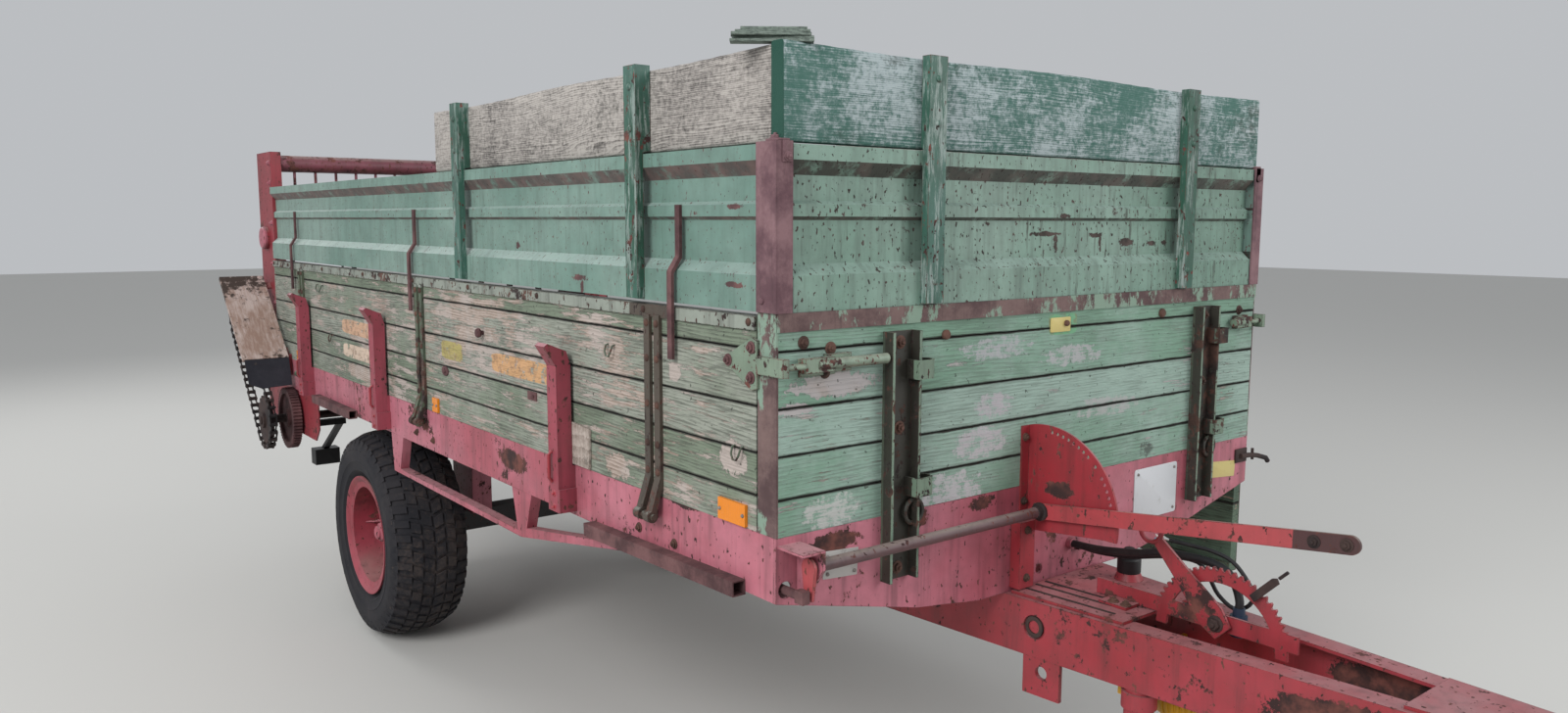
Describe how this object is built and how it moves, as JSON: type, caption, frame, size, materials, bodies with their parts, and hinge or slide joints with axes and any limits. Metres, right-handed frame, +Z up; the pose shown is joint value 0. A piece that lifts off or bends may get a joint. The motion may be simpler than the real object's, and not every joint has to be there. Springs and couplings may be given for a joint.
{
  "type": "manure spreader",
  "caption": "old two-wheel manure spreader with green wooden drop sides, steel extension walls, loose boards on top, red drawbar with a feed quadrant, and rear beaters",
  "frame": {"origin": "centre of the tow eye's bore, at half the eye's thickness", "axes": "+Y runs back along the machine's length, +Z is up along the tow eye's bore, +X is the machine's left"},
  "size_m": [2.228, 6.412, 2.1696],
  "materials": {
    "chassis_paint": "faded pink-red paint, chipped, rust runs",
    "red_paint": "red paint, worn at the edges",
    "black_paint": "matt black paint with grease and dust",
    "green_boards": "planks with flaking pale green paint",
    "green_steel": "pressed steel sheet with faded green paint",
    "strap_paint": "dark green paint, rust at the edges",
    "grey_boards": "bare weathered boards with grain and knots",
    "rusty_iron": "brown rust over dark iron",
    "bare_steel": "worn bare steel with light rust",
    "tyre_rubber": "dusty black rubber",
    "flap_rubber": "matt black rubber sheet",
    "plywood": "weathered plywood with a brown face",
    "amber_plastic": "amber reflector plastic",
    "lamp_plastic": "black lamp housing",
    "cable_rubber": "black cable sheath, dusty and cracked",
    "plug_plastic": "dark blue plug housing",
    "guard_plastic": "faded yellow guard plastic"
  },
  "bodies": {
    "chassis": {"side_rails": "chassis_paint", "cross_members": "chassis_paint", "front_cross_plate": "chassis_paint", "drawbar_beams": "red_paint", "tow_head": "red_paint", "drawbar_fittings": "chassis_paint", "jack_tube": "chassis_paint", "axle": "black_paint", "axle_stands": "chassis_paint", "floor_boards": "grey_boards", "scraper": "rusty_iron", "scraper_shafts": "rusty_iron", "rear_plates": "red_paint", "top_tube": "chassis_paint", "gearbox": "black_paint", "pto_guard": "guard_plastic", "roller_chains": "rusty_iron", "feed_wheel": "rusty_iron", "guard_board": "plywood", "guard_flap": "flap_rubber", "guard_arms": "red_paint", "right_planks": "green_boards", "right_irons": "strap_paint", "stakes": "red_paint", "left_sill": "green_boards", "front_planks": "green_boards", "corner_posts": "rusty_iron", "front_irons": "strap_paint", "corner_latches": "strap_paint", "side_extensions": "green_steel", "front_extension": "green_steel", "corner_covers": "rusty_iron", "top_boards": "grey_boards", "board_straps": "strap_paint", "crank_hooks": "rusty_iron", "quadrant": "red_paint", "rail_trusses": "red_paint", "rail_tubes": "rusty_iron", "brake_sector": "red_paint", "lamp_cable": "cable_rubber", "spare_cable": "cable_rubber", "lamp_plug": "plug_plastic", "reflectors": "amber_plastic", "tail_lamps": "lamp_plastic"},
    "left_side": {"left_planks": "green_boards", "left_irons": "strap_paint"},
    "feed_lever": {"feed_lever": "red_paint"},
    "push_rod": {"push_rod": "rusty_iron"},
    "brake_lever": {"brake_lever": "red_paint"},
    "jack_leg": {"jack_leg": "bare_steel"},
    "pto_shaft": {"pto_shaft": "bare_steel"},
    "drive_shaft": {"drive_shaft": "rusty_iron"},
    "lower_beater": {"lower_beater": "rusty_iron"},
    "upper_beater": {"upper_beater": "rusty_iron"},
    "right_wheel": {"right_hub": "chassis_paint", "right_rim": "chassis_paint", "right_tyre": "tyre_rubber"},
    "left_wheel": {"left_hub": "chassis_paint", "left_rim": "chassis_paint", "left_tyre": "tyre_rubber"}
  },
  "joints": [
    {"name": "right_wheel_spin", "type": "hinge", "parent": "chassis", "child": "right_wheel", "pos_m": [-0.78, 4.744, -0.3245], "axis": [1, 0, 0], "continuous": true},
    {"name": "left_wheel_spin", "type": "hinge", "parent": "chassis", "child": "left_wheel", "pos_m": [0.78, 4.744, -0.3245], "axis": [1, 0, 0], "continuous": true},
    {"name": "left_side_fold", "type": "hinge", "parent": "chassis", "child": "left_side", "pos_m": [0.982, 3.912, 0.346], "axis": [0, -1, 0], "range_deg": [0, 180]},
    {"name": "feed_lever_swing", "type": "hinge", "parent": "chassis", "child": "feed_lever", "pos_m": [-0.125, 1.742, 0.2905], "axis": [-1, 0, 0], "range_deg": [0, 75]},
    {"name": "push_rod_slide", "type": "slide", "parent": "chassis", "child": "push_rod", "axis": [0, -1, 0], "range_m": [0, 0.076]},
    {"name": "brake_lever_swing", "type": "hinge", "parent": "chassis", "child": "brake_lever", "pos_m": [-0.03, 1.3, 0.1025], "axis": [1, 0, 0], "range_deg": [0, 70]},
    {"name": "jack_leg_slide", "type": "slide", "parent": "chassis", "child": "jack_leg", "axis": [0, 0, 1], "range_m": [0, 0.2]},
    {"name": "pto_spin", "type": "hinge", "parent": "chassis", "child": "pto_shaft", "pos_m": [0, 3.4, -0.1215], "axis": [0, 1, 0], "continuous": true},
    {"name": "drive_shaft_spin", "type": "hinge", "parent": "chassis", "child": "drive_shaft", "pos_m": [-0.5, 5.705, 0.0585], "axis": [1, 0, 0], "continuous": true},
    {"name": "lower_beater_spin", "type": "hinge", "parent": "chassis", "child": "lower_beater", "pos_m": [0, 6.17, 0.5365], "axis": [1, 0, 0], "continuous": true},
    {"name": "upper_beater_spin", "type": "hinge", "parent": "chassis", "child": "upper_beater", "pos_m": [0, 6.1, 0.9335], "axis": [1, 0, 0], "continuous": true}
  ],
  "couplings": [
    {"joint": "drive_shaft_spin", "follows": "pto_spin", "ratio": 0.5},
    {"joint": "lower_beater_spin", "follows": "pto_spin", "ratio": 0.4545},
    {"joint": "upper_beater_spin", "follows": "pto_spin", "ratio": 0.4545},
    {"joint": "push_rod_slide", "follows": "feed_lever_swing", "m_per_rad": 0.045}
  ]
}
